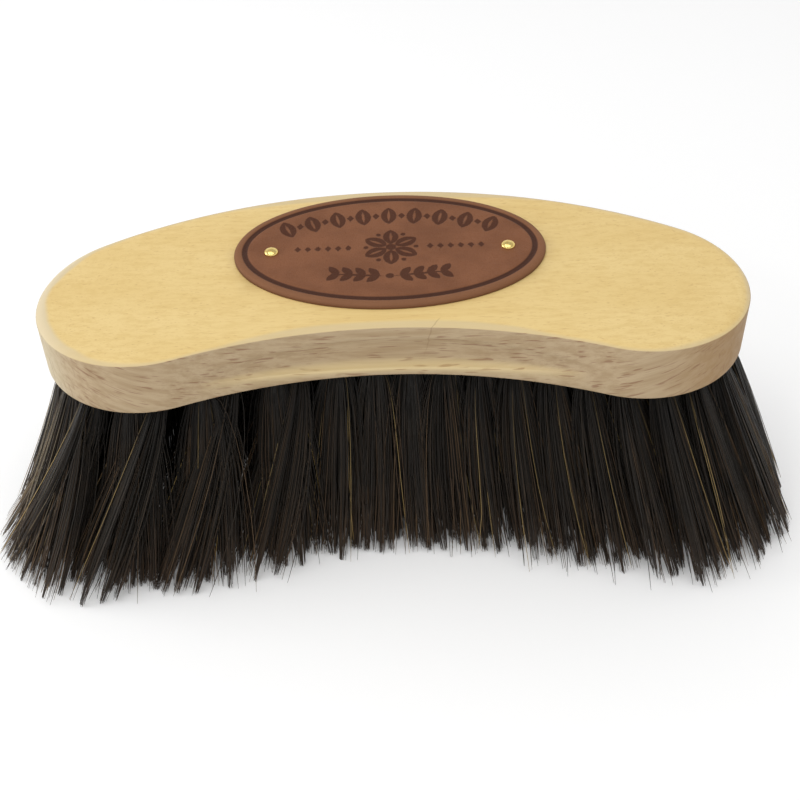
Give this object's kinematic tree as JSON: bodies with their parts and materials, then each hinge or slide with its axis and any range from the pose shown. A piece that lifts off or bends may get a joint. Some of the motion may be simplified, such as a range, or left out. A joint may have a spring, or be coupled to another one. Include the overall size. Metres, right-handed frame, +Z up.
{
  "type": "hand brush",
  "caption": "Kidney-shaped wooden hand brush with a fan of long dark horsehair tufts, a finger groove along each long side and an oval leather badge on top.",
  "frame": {"origin": "middle of the brush's whole footprint, on the plane of the bristle tips", "axes": "+X along the stock's length, +Y towards its convex back, +Z up from the bristle tips to the badge"},
  "size_m": [0.2624, 0.1094, 0.0863],
  "materials": {
    "beech": "satin",
    "leather": "satin",
    "brass": "polished",
    "horsehair": "satin"
  },
  "bodies": {
    "root": {"stock": "beech", "badge": "leather", "nail_left": "brass", "nail_right": "brass", "tufts_outer_01": "horsehair", "tufts_outer_02": "horsehair", "tufts_outer_03": "horsehair", "tufts_outer_04": "horsehair", "tufts_outer_05": "horsehair", "tufts_outer_06": "horsehair", "tufts_outer_07": "horsehair", "tufts_outer_08": "horsehair", "tufts_outer_09": "horsehair", "tufts_outer_10": "horsehair", "tufts_outer_11": "horsehair", "tufts_outer_12": "horsehair", "tufts_outer_13": "horsehair", "tufts_outer_14": "horsehair", "tufts_outer_15": "horsehair", "tufts_outer_16": "horsehair", "tufts_outer_17": "horsehair", "tufts_outer_18": "horsehair", "tufts_outer_19": "horsehair", "tufts_outer_20": "horsehair", "tufts_outer_21": "horsehair", "tufts_outer_22": "horsehair", "tufts_middle_01": "horsehair", "tufts_middle_02": "horsehair", "tufts_middle_03": "horsehair", "tufts_middle_04": "horsehair", "tufts_middle_05": "horsehair", "tufts_middle_06": "horsehair", "tufts_middle_07": "horsehair", "tufts_middle_08": "horsehair", "tufts_middle_09": "horsehair", "tufts_middle_10": "horsehair", "tufts_middle_11": "horsehair", "tufts_middle_12": "horsehair", "tufts_middle_13": "horsehair", "tufts_middle_14": "horsehair", "tufts_middle_15": "horsehair", "tufts_middle_16": "horsehair", "tufts_middle_17": "horsehair", "tufts_middle_18": "horsehair", "tufts_inner_01": "horsehair", "tufts_inner_02": "horsehair", "tufts_inner_03": "horsehair", "tufts_inner_04": "horsehair", "tufts_inner_05": "horsehair", "tufts_inner_06": "horsehair", "tufts_inner_07": "horsehair", "tufts_inner_08": "horsehair", "tufts_inner_09": "horsehair", "tufts_inner_10": "horsehair", "tufts_inner_11": "horsehair", "tufts_inner_12": "horsehair", "tufts_inner_13": "horsehair", "tufts_inner_14": "horsehair"}
  },
  "joints": []
}
